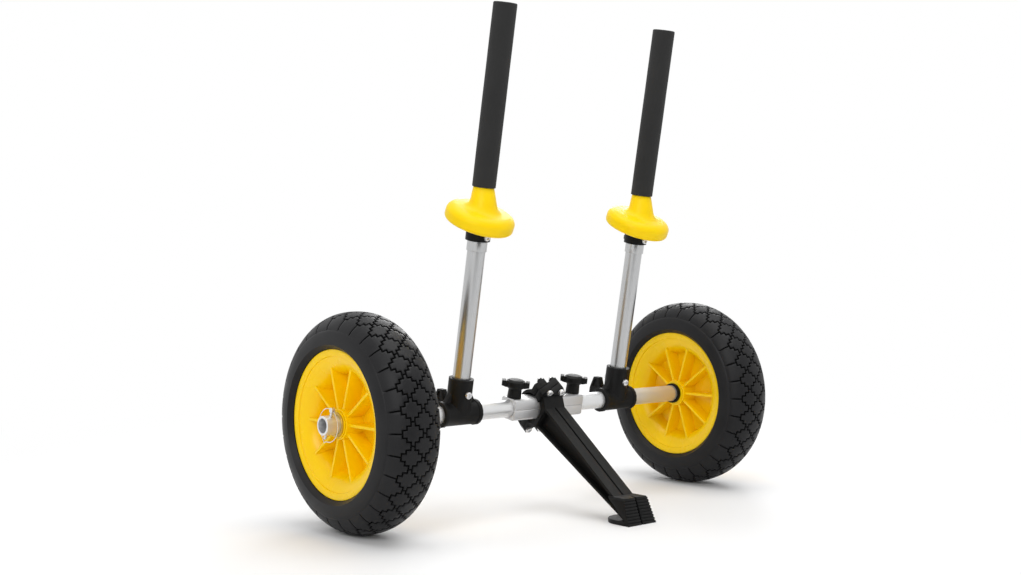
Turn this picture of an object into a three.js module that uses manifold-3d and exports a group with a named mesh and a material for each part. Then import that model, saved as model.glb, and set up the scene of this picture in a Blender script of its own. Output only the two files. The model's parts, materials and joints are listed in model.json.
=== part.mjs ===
// Two-wheeled cart that carries a sit-on-top kayak by two posts through its scupper holes.
// Millimetres. X runs along the axle, -Y is the kickstand side and +Z is up.
// The origin lies on the ground, under the middle of the cart as it stands on its kickstand.
import * as THREE from 'three';
import { mergeVertices } from 'three/addons/utils/BufferGeometryUtils.js';
import Module from 'manifold-3d';

// Clearances and faceting
const seat_gap = 0.3;
const weld = 1e-4;
const round_sides = 18;
const ring_sides = 16;
const small_sides = 8;
const wire_sides = 6;
const past = 1;

// Tyre: a solid foam tyre of 10 inches, with shoulder lugs and a diamond tread
const tyre_radius = 127;
const tyre_width = 76.8;
const tyre_section_height = 40;
const tyre_section_power = 2.3;
const tyre_steps = 6;
const bead_width = 66.4;
const bead_height = 0.8;
const lug_count = 30;
const lug_groove_width = 3.6;
const lug_groove_depth = 2.6;
const lug_slant = 0.2;

// Rim: one moulding, dished alike on both sides, with thin radial ribs
const rim_radius = 85.3;
const rim_width = 64;
const rim_lip_height = 3;
const rim_seat_drop = 5.3;
const rim_lip_band = 8.3;
const rim_step = 1.2;
const rim_bowl_width = 20.5;
const rim_bowl_depth = 8;
const rim_wall_draft = 3;
const rim_bowl_steps = 3;
const rim_web_thickness = 8;
const rim_sides = 30;
const rib_count = 10;
const rib_thickness = 3;
const rib_drop = 8.3;
const hub_radius = 17.5;
const hub_length = 54;
const hub_draft = 1.5;

// Axle and what sits on it
const track = 565;
const axle_overhang = 47.5;
const axle_radius = 11;
const axle_wall = 2.6;
const bush_wall = 2;
const bush_length = 20;
const bush_flange_radius = 15.8;
const bush_flange_thickness = 1.4;
const washer_radius = 14.5;
const washer_thickness = 1.5;
const spacer_radius = 13.6;
const spacer_length = 5;

// Lock pin and its spring-wire ring at each axle end
const pin_inset = 8;
const pin_radius = 1.9;
const pin_head_radius = 3.2;
const pin_head_width = 4.4;
const pin_tip_reach = 17.5;
const pin_tilt = THREE.MathUtils.degToRad(24);
const ring_radius = 19.1;
const ring_wire = 1.5;
const ring_grip = 1.2;
const ring_kink_drop = 3.4;
const ring_kink_angle = THREE.MathUtils.degToRad(13);
const ring_steps = 9;

// Coupling that joins the axle halves, and its two clamping knobs
const lean = THREE.MathUtils.degToRad(10.5);
const coupling_shift = 3;
const coupling_length = 117;
const coupling_side = 27;
const coupling_corner = 4;
const coupling_groove = 1.2;
const axle_half_gap = 30;
const knob_spread = 101;
const knob_turn = THREE.MathUtils.degToRad(-42);
const knob_foot_radius = 9.1;
const knob_neck_radius = 8.4;
const knob_stem_height = 13;
const knob_head_radius = 12.2;
const knob_head_height = 11;
const knob_dome = 3.5;
const knob_span = 35;
const knob_wing_width = 12;
const knob_wing_height = 9;
const knob_notch_width = 2;
const knob_notch_depth = 3.2;
const knob_notch_inset = 5.5;
const stud_radius = 4;

// Post: tee fitting, pole and what it carries. Distances run up the pole from the axle.
const post_spacing = 271;
const post_shift = -1.5;
const tee_length = 56.5;
const tee_barrel_radius = 15;
const tee_lip = 1;
const tee_lip_width = 5;
const tee_sleeve_radius = 15.5;
const tee_sleeve_top = 44;
const tee_floor = 2.7;
const tee_gusset_width = 7;
const tee_gusset_rise = 12;
const tee_boss_radius = 9;
const tee_boss_reach = 21;
const tee_bolt_height = 26.5;
const pole_radius = 11;
const pole_wall = 1.6;
const ferrule_low = 200.3;
const ferrule_height = 12;
const ferrule_wall = 1;
const collar_height = 13.4;
const collar_radius = 15;
const collar_bolt_rise = 5.6;
const collar_head_radius = 3.6;
const bumper_radius = 42.3;
const bumper_rim = 24;
const bumper_edge = 8;
const bumper_height = 50.3;
const bumper_neck_radius = 12.7;
const bumper_cone_radius = 15;
const bumper_cant = THREE.MathUtils.degToRad(9.9);
const bumper_roll = THREE.MathUtils.degToRad(8.3);
const bumper_sides = 24;
const foam_radius = 14.25;
const foam_length = 215.1;
const foam_edge = 1.6;
const cap_thickness = 2.5;
const cap_plug = 14;
const bolt_radius = 2.2;
const bolt_head_radius = 4.3;
const bolt_head_height = 3.3;

// Wing knob at the back of each tee
const wing_hub_radius = 7.5;
const wing_hub_height = 12;
const wing_span = 44;
const wing_width = 8;
const wing_rise = 23;
const wing_tip = 9;
const wing_hollow = 2;

// Kickstand. Distances along it run from the axle, and its face looks up and forward.
const stand_angle = THREE.MathUtils.degToRad(38.5);
const jaw_sides = 24;
const jaw_width = 37;
const jaw_wall = 4.3;
const jaw_split = 0.8;
const ear_half_width = 20;
const ear_shoulder = 29;
const ear_peak = 39;
const front_ear_depth = 9;
const rear_ear_depth = 10;
const rear_low_ear_depth = 4.5;
const clamp_bolt_spread = 20;
const clamp_bolt_reach = 32;
const clamp_bolt_radius = 2.5;
const clamp_head_radius = 4.1;
const clamp_head_height = 3.6;
const leg_width = 33;
const leg_face = 16.4;
const leg_start = 22;
const leg_back_start = 16;
const leg_back_width = 28;
const leg_taper = 6.3;
const leg_flange = 3.2;
const leg_web = 11;
const leg_slot_width = 2.6;
const leg_slot_depth = 9;
const neck_top = 25;
const neck_tab_width = 9;
const neck_tab_length = 7;
const neck_tab_rise = 2.5;
const foot_setback = 7;
const foot_width = 47;
const foot_height = 31;
const foot_lean = 12;
const foot_top_width = 41;
const foot_corner = 2.5;
const foot_length = 48;
const sole_thickness = 5;
const foot_pad_depth = 4.6;
const foot_rib_count = 9;
const foot_rib_groove = 1.8;
const foot_split_depth = 7;

// Sizes that follow from the ones above
const rim_seat_radius = rim_radius - rim_seat_drop;
const rim_web_radius = rim_radius - rim_lip_band - rim_bowl_width;
const axle_length = track + 2 * axle_overhang;
const axle_bore = axle_radius - axle_wall;
const running_radius = axle_radius + seat_gap;
const hub_bore = running_radius + bush_wall + seat_gap;
const pole_slide = pole_radius + seat_gap;
const collar_low = ferrule_low + ferrule_height + seat_gap;
const collar_bolt_height = collar_low + collar_bolt_rise;
const bumper_low = collar_low + collar_height + seat_gap;
const foam_low = bumper_low + bumper_height + seat_gap;
const pole_top = foam_low + foam_length - cap_thickness - seat_gap;
const coupling_corner_reach = Math.SQRT2 * (coupling_side / 2 - coupling_corner) + coupling_corner;
const jaw_bore = coupling_corner_reach + seat_gap;
const jaw_radius = jaw_bore + jaw_wall;
const leg_ground = (tyre_radius + leg_face * Math.cos(stand_angle)) / Math.sin(stand_angle);
const foot_reach = leg_ground * Math.cos(stand_angle) + leg_face * Math.sin(stand_angle) - foot_setback;
const leg_shoulder = (tyre_radius - foot_height + leg_face * Math.cos(stand_angle)) / Math.sin(stand_angle);
const axle_y = (foot_reach - tyre_radius) / 2;

const wasm = await Module();
wasm.setup();

// Keeps positions only, joins shared corners, drops flattened triangles and turns faces outwards.
function welded(geometry) {
  const bare = geometry.clone();
  for (const name of Object.keys(bare.attributes)) {
    if (name !== 'position') bare.deleteAttribute(name);
  }
  const joined = mergeVertices(bare, weld);
  const corners = joined.getAttribute('position').array;
  const index = joined.getIndex().array;
  const faces = [];
  let volume = 0;
  const a = new THREE.Vector3();
  const b = new THREE.Vector3();
  const c = new THREE.Vector3();
  for (let i = 0; i < index.length; i += 3) {
    const [p, q, r] = [index[i], index[i + 1], index[i + 2]];
    if (p === q || q === r || r === p) continue;
    faces.push(p, q, r);
    a.fromArray(corners, 3 * p);
    b.fromArray(corners, 3 * q);
    c.fromArray(corners, 3 * r);
    volume += a.dot(b.cross(c));
  }
  if (volume < 0) faces.reverse();
  return { corners: new Float32Array(corners), faces: new Uint32Array(faces) };
}

function solid(geometry) {
  const { corners, faces } = welded(geometry);
  return new wasm.Manifold(new wasm.Mesh({ numProp: 3, vertProperties: corners, triVerts: faces }));
}

function geometry_of(body) {
  const mesh = body.getMesh();
  const geometry = new THREE.BufferGeometry();
  geometry.setAttribute('position', new THREE.BufferAttribute(new Float32Array(mesh.vertProperties), 3));
  geometry.setIndex(new THREE.BufferAttribute(new Uint32Array(mesh.triVerts), 1));
  geometry.computeVertexNormals();
  return geometry;
}

function closed(geometry) {
  const { corners, faces } = welded(geometry);
  const whole = new THREE.BufferGeometry();
  whole.setAttribute('position', new THREE.BufferAttribute(corners, 3));
  whole.setIndex(new THREE.BufferAttribute(faces, 1));
  whole.computeVertexNormals();
  return whole;
}

function join(...parts) {
  return geometry_of(parts.map(solid).reduce((whole, part) => whole.add(part)));
}

function cut(base, ...tools) {
  return geometry_of(tools.map(solid).reduce((whole, tool) => whole.subtract(tool), solid(base)));
}

function common(base, tool) {
  return geometry_of(solid(base).intersect(solid(tool)));
}

// Shapes turned about the Z or X axis from [radius, height] points
function turned_z(profile, sides = round_sides) {
  const points = profile.map(([radius, height]) => new THREE.Vector2(radius, height));
  return new THREE.LatheGeometry(points, sides).rotateX(Math.PI / 2);
}

function turned_x(profile, sides = round_sides) {
  return turned_z(profile, sides).rotateY(Math.PI / 2);
}

function rod_z(radius, low, high, sides = round_sides) {
  const rod = new THREE.CylinderGeometry(radius, radius, high - low, sides);
  return rod.rotateX(Math.PI / 2).translate(0, 0, (low + high) / 2);
}

function rod_x(radius, low, high, sides = round_sides) {
  return rod_z(radius, low, high, sides).rotateY(Math.PI / 2);
}

function rod_y(radius, low, high, sides = small_sides) {
  return rod_z(radius, low, high, sides).rotateX(-Math.PI / 2);
}

function ring_profile(outer, bore, low, high) {
  return [[bore, low], [outer, low], [outer, high], [bore, high], [bore, low]];
}

function block(x_low, x_high, y_low, y_high, z_low, z_high) {
  const box = new THREE.BoxGeometry(x_high - x_low, y_high - y_low, z_high - z_low);
  return box.translate((x_low + x_high) / 2, (y_low + y_high) / 2, (z_low + z_high) / 2);
}

function outline(points) {
  return new THREE.Shape(points.map(([u, v]) => new THREE.Vector2(u, v)));
}

// Slabs extruded along one axis: slab_x takes a (y, z) outline, slab_y (x, z) and slab_z (x, y)
function slab_z(shape, low, high, edge = 0) {
  const options = { depth: high - low - 2 * edge, curveSegments: 4, bevelEnabled: edge > 0 };
  Object.assign(options, { bevelSize: edge, bevelThickness: edge, bevelOffset: -edge, bevelSegments: 1 });
  return new THREE.ExtrudeGeometry(shape, options).translate(0, 0, low + edge);
}

function slab_x(shape, low, high, edge = 0) {
  return slab_z(shape, low, high, edge).rotateZ(Math.PI / 2).rotateY(Math.PI / 2);
}

function slab_y(shape, low, high, edge = 0) {
  return slab_z(shape, -high, -low, edge).rotateX(Math.PI / 2);
}

function rounded_square(side, corner) {
  const half = side / 2;
  const shape = new THREE.Shape();
  for (let turn = 0; turn < 4; turn += 1) {
    const angle = turn * Math.PI / 2;
    const centre = new THREE.Vector2(half - corner, half - corner).rotateAround(new THREE.Vector2(), angle);
    shape.absarc(centre.x, centre.y, corner, angle, angle + Math.PI / 2, false);
  }
  return shape;
}

// Materials
const finishes = {
  tyre: { color: 0x1b1b1c, roughness: 0.85, metalness: 0 },
  yellow_plastic: { color: 0xffc114, roughness: 0.4, metalness: 0 },
  yellow_rubber: { color: 0xffd91e, roughness: 0.5, metalness: 0 },
  black_plastic: { color: 0x232325, roughness: 0.5, metalness: 0 },
  foam: { color: 0x343434, roughness: 0.95, metalness: 0 },
  aluminium: { color: 0xc6c8ca, roughness: 0.3, metalness: 1 },
  zinc: { color: 0xd5d7d8, roughness: 0.25, metalness: 1 },
};

function piece(parent, name, finish, geometry) {
  const mesh = new THREE.Mesh(closed(geometry), new THREE.MeshStandardMaterial(finishes[finish]));
  mesh.name = name;
  parent.add(mesh);
  return mesh;
}

function group(parent) {
  const child = new THREE.Group();
  parent.add(child);
  return child;
}

// Tyre

// Rows of the skin from one bead to the other. Each has its radius, its place across the tyre, the
// share of the grooves' depth there and the share of a pitch by which its lugs are turned.
function tyre_rows() {
  const centre = tyre_radius - tyre_section_height;
  const rows = [];
  for (let i = 0; i <= tyre_steps; i += 1) {
    const angle = i / tyre_steps * Math.PI;
    const across = Math.abs(Math.cos(angle)) ** (2 / tyre_section_power) * Math.sign(Math.cos(angle));
    const out = Math.abs(Math.sin(angle)) ** (2 / tyre_section_power);
    const from_middle = i - tyre_steps / 2;
    rows.push({
      radius: centre + tyre_section_height * out,
      x: tyre_width / 2 * across,
      depth: lug_groove_depth * THREE.MathUtils.smoothstep(out, 0, 0.7),
      turn: Math.abs(from_middle) === 1 ? -lug_slant * from_middle : Math.sign(from_middle) / 4,
    });
  }
  const inner = (rim_seat_radius + hub_radius) / 2;
  const bead = rim_radius + seat_gap + bead_height;
  for (const radius of [bead, inner]) {
    rows.push({ radius, x: -bead_width / 2, depth: 0, turn: 1 / 4 });
  }
  for (const radius of [inner, bead]) {
    rows.push({ radius, x: bead_width / 2, depth: 0, turn: -1 / 4 });
  }
  return rows;
}

// The skin is turned in lugs: a groove and a block for each pitch, joined from row to row.
function tyre_skin() {
  const rows = tyre_rows();
  const pitch = 2 * Math.PI / lug_count;
  const edge = lug_groove_width / 2 / tyre_radius;
  const corners = [];
  for (const row of rows) {
    for (let lug = 0; lug < lug_count; lug += 1) {
      for (const [offset, sink] of [[0, 0], [edge, row.depth], [2 * edge, 0]]) {
        const angle = (lug + row.turn) * pitch + offset;
        const radius = row.radius - sink;
        corners.push(row.x, radius * Math.sin(angle), radius * Math.cos(angle));
      }
    }
  }
  const around = 3 * lug_count;
  const faces = [];
  for (let j = 0; j < rows.length; j += 1) {
    for (let i = 0; i < around; i += 1) {
      const [a, b] = [j * around + i, j * around + (i + 1) % around];
      const [c, d] = [a, b].map((corner) => (corner + around) % (rows.length * around));
      faces.push(a, b, d, a, d, c);
    }
  }
  const skin = new THREE.BufferGeometry();
  skin.setAttribute('position', new THREE.BufferAttribute(new Float32Array(corners), 3));
  skin.setIndex(faces);
  return skin;
}

function tyre() {
  const tongue = rim_width / 2 - rim_lip_height - seat_gap;
  const side_radius = rim_radius + seat_gap;
  const inner_radius = rim_seat_radius + seat_gap;
  const reach = tyre_width / 2 + past;
  const seat = turned_x([
    [0, -reach],
    [side_radius, -reach],
    [side_radius, -tongue],
    [inner_radius, -tongue],
    [inner_radius, tongue],
    [side_radius, tongue],
    [side_radius, reach],
    [0, reach],
  ], rim_sides);
  return cut(tyre_skin(), seat);
}

// Rim

// The bowl's curve from the web's edge out to the lip
function rim_bowl() {
  const web = new THREE.Vector2(rim_web_radius, rim_web_thickness / 2);
  const lip = new THREE.Vector2(rim_radius - rim_lip_band, rim_width / 2 - 2 * rim_step);
  const turn = new THREE.Vector2(rim_web_radius + rim_wall_draft, rim_width / 2 - rim_bowl_depth);
  return new THREE.QuadraticBezierCurve(web, turn, lip).getPoints(rim_bowl_steps);
}

function rim_profile() {
  const lip = rim_width / 2;
  const web = rim_web_thickness / 2;
  const hub = hub_length / 2;
  const side = [
    [hub_bore, hub],
    [hub_radius, hub],
    [hub_radius + hub_draft, web],
    ...rim_bowl().map(({ x, y }) => [x, y]),
    [rim_radius - rim_lip_band + rim_step, lip - rim_step],
    [rim_radius, lip],
    [rim_radius, lip - rim_lip_height],
    [rim_seat_radius, lip - rim_lip_height],
  ];
  const other = side.map(([radius, x]) => [radius, -x]).reverse();
  return [...side, ...other, side[0]];
}

function rim_rib(turn) {
  const inner = hub_radius - 1;
  const height = rim_width / 2 - rib_drop;
  const outer = rim_bowl().find(({ y }) => y > height).x;
  const shape = outline([
    [-height, inner],
    [height, inner],
    [height, outer],
    [-height, outer],
  ]);
  return slab_y(shape, -rib_thickness / 2, rib_thickness / 2).rotateX(turn);
}

function rim() {
  const ribs = [];
  for (let i = 0; i < rib_count; i += 1) ribs.push(rim_rib(Math.PI / 2 + i * 2 * Math.PI / rib_count));
  return join(turned_x(rim_profile(), rim_sides), ...ribs);
}

// Axle half and what is threaded on it. Side is -1 on the left and 1 on the right.

function between(a, b) {
  return [Math.min(a, b), Math.max(a, b)];
}

function axle_tube(side) {
  const outer_end = side * axle_length / 2;
  const inner_end = coupling_shift + side * axle_half_gap / 2;
  const tube = turned_x(ring_profile(axle_radius, axle_bore, ...between(outer_end, inner_end)));
  const hole = rod_z(pin_radius + seat_gap, -axle_radius - past, axle_radius + past, small_sides);
  return cut(tube, hole.rotateX(pin_tilt).translate(outer_end - side * pin_inset, 0, 0));
}

function ring_on_axle(outer, from, to) {
  return turned_x(ring_profile(outer, running_radius, ...between(from, to)), ring_sides);
}

// One flanged bush fills each end of the hub bore. Out is the end's direction along X.
function bush(wheel_x, out) {
  const face = hub_length / 2;
  const profile = [
    [running_radius, face - bush_length],
    [running_radius + bush_wall, face - bush_length],
    [running_radius + bush_wall, face + seat_gap],
    [bush_flange_radius, face + seat_gap],
    [bush_flange_radius, face + seat_gap + bush_flange_thickness],
    [running_radius, face + seat_gap + bush_flange_thickness],
    [running_radius, face - bush_length],
  ];
  return turned_x(profile, ring_sides).scale(out, 1, 1).translate(wheel_x, 0, 0);
}

// The pin hangs in the tube by its flat round head, which the ring's two ends are hooked into.
function lock_pin() {
  const shank = rod_z(pin_radius, -pin_tip_reach, ring_radius, small_sides);
  const half = pin_head_width / 2;
  const head = rod_x(pin_head_radius, -half, half, small_sides).translate(0, 0, ring_radius);
  const tools = [];
  for (const side of [-1, 1]) {
    const outer = side * (pin_head_radius + past);
    const inner = side * (pin_head_radius - ring_grip - seat_gap);
    const hole = rod_y(ring_wire / 2 + seat_gap, ...between(outer, inner));
    tools.push(hole.translate(0, 0, ring_radius));
  }
  return cut(join(head, shank), ...tools);
}

// The wire runs from one side of the pin's head round the tube to the other, kinked under the tip.
function lock_ring_path() {
  const grip = pin_head_radius - ring_grip;
  const first = Math.asin((pin_head_radius + 1) / ring_radius);
  const points = [];
  for (let i = 0; i <= ring_steps; i += 1) {
    const angle = first + (Math.PI - ring_kink_angle - first) * i / ring_steps;
    points.push(new THREE.Vector3(0, ring_radius * Math.sin(angle), ring_radius * Math.cos(angle)));
  }
  points.unshift(new THREE.Vector3(0, pin_head_radius, ring_radius));
  points.unshift(new THREE.Vector3(0, grip, ring_radius));
  const other = points.map((point) => new THREE.Vector3(0, -point.y, point.z)).reverse();
  return [...points, new THREE.Vector3(0, 0, -ring_radius - ring_kink_drop), ...other];
}

function wire_section() {
  const points = [];
  for (let i = 0; i < wire_sides; i += 1) {
    const angle = 2 * Math.PI * i / wire_sides;
    points.push([ring_wire / 2 * Math.cos(angle), ring_wire / 2 * Math.sin(angle)]);
  }
  return outline(points);
}

function lock_ring() {
  const points = lock_ring_path();
  const curve = new THREE.CatmullRomCurve3(points);
  const steps = points.length - 1;
  return new THREE.ExtrudeGeometry(wire_section(), { steps, extrudePath: curve, bevelEnabled: false });
}

// Coupling and knobs

function coupling_box() {
  const half = coupling_side / 2;
  const length = coupling_length / 2;
  const body = slab_x(rounded_square(coupling_side, coupling_corner), -length, length);
  const tools = [rod_x(running_radius, -length - past, length + past)];
  for (const face of [-half, half]) {
    const groove = block(-length - past, length + past, -coupling_groove / 2, coupling_groove / 2,
      -coupling_groove / 2, coupling_groove / 2);
    tools.push(groove.rotateX(Math.PI / 4).translate(0, face, 0));
  }
  for (const side of [-1, 1]) {
    const hole = rod_z(stud_radius + seat_gap, 0, half + past, ring_sides);
    tools.push(hole.translate(side * knob_spread / 2, 0, 0));
  }
  return cut(body, ...tools);
}

function stud(from, to) {
  return rod_z(stud_radius, from, to, small_sides);
}

function knob_stud_hole(depth) {
  return rod_z(stud_radius + seat_gap, -past, depth, small_sides);
}

// Base at z = 0. The head is a low dome with two wings, each notched near its tip.
function coupling_knob() {
  const head_low = knob_stem_height;
  const head_top = head_low + knob_head_height;
  const edge = head_top - knob_dome;
  const body = turned_z([
    [0, 0],
    [knob_foot_radius, 0],
    [knob_neck_radius, knob_stem_height - 2],
    [knob_head_radius - 1.5, head_low],
    [knob_head_radius, head_low + 2],
    [knob_head_radius, edge],
    [knob_head_radius * 0.75, head_top - knob_dome * 0.3],
    [0, head_top],
  ]);
  const tip = knob_span / 2;
  const notch = tip - knob_notch_inset;
  const wing_low = edge - knob_wing_height + 2;
  const wing_top = edge + 1;
  const shape = outline([
    [-tip, wing_low + 1.5],
    [-notch, wing_low],
    [notch, wing_low],
    [tip, wing_low + 1.5],
    [tip, wing_top],
    [notch + knob_notch_width / 2, wing_top],
    [notch, wing_top - knob_notch_depth],
    [notch - knob_notch_width / 2, wing_top],
    [-notch + knob_notch_width / 2, wing_top],
    [-notch, wing_top - knob_notch_depth],
    [-notch - knob_notch_width / 2, wing_top],
    [-tip, wing_top],
  ]);
  const wings = slab_y(shape, -knob_wing_width / 2, knob_wing_width / 2);
  return cut(join(body, wings), knob_stud_hole(knob_stem_height));
}

// Post pieces, along z from the axle, with the front at -y

function tee() {
  const half = tee_length / 2;
  const inner = half - tee_lip_width;
  const lip = tee_barrel_radius + tee_lip;
  const barrel = turned_x([
    [0, -half],
    [lip, -half],
    [lip, -inner],
    [tee_barrel_radius, -inner],
    [tee_barrel_radius, inner],
    [lip, inner],
    [lip, half],
    [0, half],
  ]);
  const gusset = slab_y(outline([
    [-inner, 0],
    [inner, 0],
    [inner, tee_barrel_radius - 1],
    [tee_sleeve_radius - 1, tee_barrel_radius + tee_gusset_rise],
    [1 - tee_sleeve_radius, tee_barrel_radius + tee_gusset_rise],
    [-inner, tee_barrel_radius - 1],
  ]), -tee_gusset_width / 2, tee_gusset_width / 2);
  const sleeve = rod_z(tee_sleeve_radius, 0, tee_sleeve_top);
  const boss = rod_y(tee_boss_radius, 0, tee_boss_reach, ring_sides);
  const body = join(barrel, gusset, sleeve, boss);
  const reach = tee_sleeve_radius + past;
  return cut(
    body,
    rod_x(running_radius, -half - past, half + past),
    rod_z(pole_slide, running_radius + tee_floor, tee_sleeve_top + past),
    rod_y(stud_radius + seat_gap, 0, tee_boss_reach + past, ring_sides),
    rod_y(bolt_radius + seat_gap, -reach, reach).translate(0, 0, tee_bolt_height),
  );
}

// A cap-head bolt along y through a round piece of the given radius
function through_bolt(radius, head_radius) {
  const head = rod_y(head_radius, -radius - seat_gap - bolt_head_height, -radius - seat_gap, 12);
  const shank = rod_y(bolt_radius, -radius - seat_gap - past, radius + seat_gap + bolt_head_height + past);
  return join(head, shank);
}

function hex_nut(across, bore, height) {
  return cut(rod_z(across, 0, height, 6), rod_z(bore + seat_gap, -past, height + past, small_sides));
}

function bolt_nut(radius) {
  const nut = hex_nut(bolt_head_radius, bolt_radius, bolt_head_height);
  return nut.rotateX(-Math.PI / 2).translate(0, radius + seat_gap, 0);
}

function pole() {
  const low = running_radius + tee_floor + seat_gap;
  const tube = turned_z(ring_profile(pole_radius, pole_radius - pole_wall, low, pole_top));
  const reach = pole_radius + past;
  const hole = rod_y(bolt_radius + seat_gap, -reach, reach);
  return cut(tube, hole.clone().translate(0, 0, tee_bolt_height), hole.translate(0, 0, collar_bolt_height));
}

function ferrule() {
  const outer = pole_slide + ferrule_wall;
  return turned_z(ring_profile(outer, pole_slide, ferrule_low, ferrule_low + ferrule_height), ring_sides);
}

function collar() {
  const ring = turned_z(ring_profile(collar_radius, pole_slide, collar_low, collar_low + collar_height));
  const reach = collar_radius + past;
  const hole = rod_y(bolt_radius + seat_gap, -reach, reach);
  return cut(ring, hole.translate(0, 0, collar_bolt_height));
}

// Thick round-edged disc that flows up into a slim cone
function bumper_profile() {
  const flat = bumper_radius - bumper_edge;
  const points = [[0, 0]];
  for (const [height, first] of [[bumper_edge, -Math.PI / 2], [bumper_rim - bumper_edge, 0]]) {
    for (let i = 0; i <= 2; i += 1) {
      const angle = first + Math.PI / 4 * i;
      points.push([flat + bumper_edge * Math.cos(angle), height + bumper_edge * Math.sin(angle)]);
    }
  }
  const foot = new THREE.Vector2(flat, bumper_rim);
  const bend = new THREE.Vector2(bumper_cone_radius, bumper_rim + 2);
  const neck = new THREE.Vector2(bumper_neck_radius, bumper_height);
  const flare = new THREE.QuadraticBezierCurve(foot, bend, neck).getPoints(4);
  points.push(...flare.slice(1).map(({ x, y }) => [x, y]), [0, bumper_height]);
  return points;
}

// Tips the disc about its middle. The cone takes less of it the higher it is, so its neck stays
// on the pole.
function tipped(geometry) {
  const place = geometry.getAttribute('position');
  const middle = new THREE.Vector3(0, 0, bumper_rim / 2);
  const tip = new THREE.Euler(bumper_cant, bumper_roll, 0);
  for (let i = 0; i < place.count; i += 1) {
    const point = new THREE.Vector3().fromBufferAttribute(place, i);
    const rise = THREE.MathUtils.clamp((point.z - bumper_rim) / (bumper_height - bumper_rim), 0, 1);
    const turned = point.clone().sub(middle).applyEuler(tip).add(middle);
    point.lerp(turned, (1 - rise) ** 1.5);
    place.setXYZ(i, point.x, point.y, point.z);
  }
  return geometry;
}

function bumper() {
  const body = tipped(turned_z(bumper_profile(), bumper_sides)).translate(0, 0, bumper_low);
  const bore = rod_z(pole_slide, collar_low, bumper_low + bumper_height + past);
  const pocket = rod_z(collar_radius + seat_gap, collar_low, bumper_low);
  return cut(body, bore, pocket);
}

function foam() {
  const top = foam_low + foam_length;
  return turned_z([
    [pole_slide, foam_low],
    [foam_radius, foam_low],
    [foam_radius, top - foam_edge],
    [foam_radius - foam_edge, top],
    [pole_slide, top],
    [pole_slide, foam_low],
  ]);
}

function pole_cap() {
  const plug_radius = pole_radius - pole_wall - seat_gap;
  const rim_low = pole_top + seat_gap;
  return turned_z([
    [0, rim_low - cap_plug],
    [plug_radius, rim_low - cap_plug],
    [plug_radius, rim_low],
    [pole_radius, rim_low],
    [pole_radius, rim_low + cap_thickness - 0.8],
    [pole_radius - 0.8, rim_low + cap_thickness],
    [0, rim_low + cap_thickness],
  ]);
}

// Wing knob along z, with its wings along x
function wing_knob() {
  const hub = turned_z([
    [0, 0],
    [wing_hub_radius, 0],
    [wing_hub_radius - 1, wing_hub_height],
    [0, wing_hub_height],
  ], ring_sides);
  const tip = wing_span / 2;
  const shape = outline([
    [-wing_hub_radius, 2],
    [wing_hub_radius, 2],
    [tip, wing_tip],
    [tip - 1, wing_tip + wing_tip],
    [5, wing_rise],
    [-5, wing_rise],
    [1 - tip, wing_tip + wing_tip],
    [-tip, wing_tip],
  ]);
  const wings = slab_y(shape, -wing_width / 2, wing_width / 2);
  const hollows = [];
  for (const side of [-1, 1]) {
    const pocket = outline([
      [8, 8],
      [tip - 3, wing_tip + 2.5],
      [tip - 3.5, wing_tip + wing_tip - 2.5],
      [8, wing_rise - 4],
    ]);
    for (const face of [-1, 1]) {
      const outer = face * (wing_width / 2 + past);
      const inner = face * (wing_width / 2 - wing_hollow);
      hollows.push(slab_y(pocket, ...between(outer, inner)).scale(side, 1, 1));
    }
  }
  return cut(join(hub, wings), knob_stud_hole(wing_hub_height), ...hollows);
}

// Kickstand, in its own frame: -y runs down the leg and +z looks out of its face

function ear_outline(side) {
  return outline([
    [-ear_half_width, 0],
    [ear_half_width, 0],
    [ear_half_width, side * ear_shoulder],
    [clamp_bolt_spread / 2, side * ear_peak],
    [0, side * ear_shoulder],
    [-clamp_bolt_spread / 2, side * ear_peak],
    [-ear_half_width, side * ear_shoulder],
  ]);
}

function clamp_cutters() {
  const half = Math.max(jaw_width / 2, ear_half_width) + past;
  const reach = leg_start + past;
  const tools = [rod_x(jaw_bore, -half, half, jaw_sides)];
  for (const x of [-1, 1]) {
    for (const z of [-1, 1]) {
      const hole = rod_y(clamp_bolt_radius + seat_gap, -reach, reach);
      tools.push(hole.translate(x * clamp_bolt_spread / 2, 0, z * clamp_bolt_reach));
    }
  }
  return tools;
}

function jaw_half(width, from, to, ear_from, top_ear_to, low_ear_to) {
  const ring = rod_x(jaw_radius, -width / 2, width / 2, jaw_sides);
  const keep = block(-width, width, from, to, -2 * jaw_radius, 2 * jaw_radius);
  const parts = [common(ring, keep)];
  parts.push(slab_y(ear_outline(1), ...between(ear_from, top_ear_to)));
  parts.push(slab_y(ear_outline(-1), ...between(ear_from, low_ear_to)));
  return join(...parts);
}

function clamp_jaw() {
  const face = jaw_split / 2;
  const jaw = jaw_half(jaw_width, face, jaw_radius + past, face, rear_ear_depth, rear_low_ear_depth);
  return cut(jaw, ...clamp_cutters());
}

// How far forward the sloped front of the foot is at a height above the ground
function foot_front(height) {
  return foot_lean * height / foot_height - foot_reach;
}

// Everything above the sole and behind the front of the foot, as the leg's own frame sees it
function above_sole() {
  const low = sole_thickness / 2;
  const side_view = outline([
    [foot_front(low), low - tyre_radius],
    [foot_front(foot_height), foot_height - tyre_radius],
    [foot_front(foot_height), tyre_radius],
    [tyre_radius, tyre_radius],
    [tyre_radius, low - tyre_radius],
  ]);
  return slab_x(side_view, -ear_half_width, ear_half_width).rotateX(-stand_angle);
}

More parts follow.
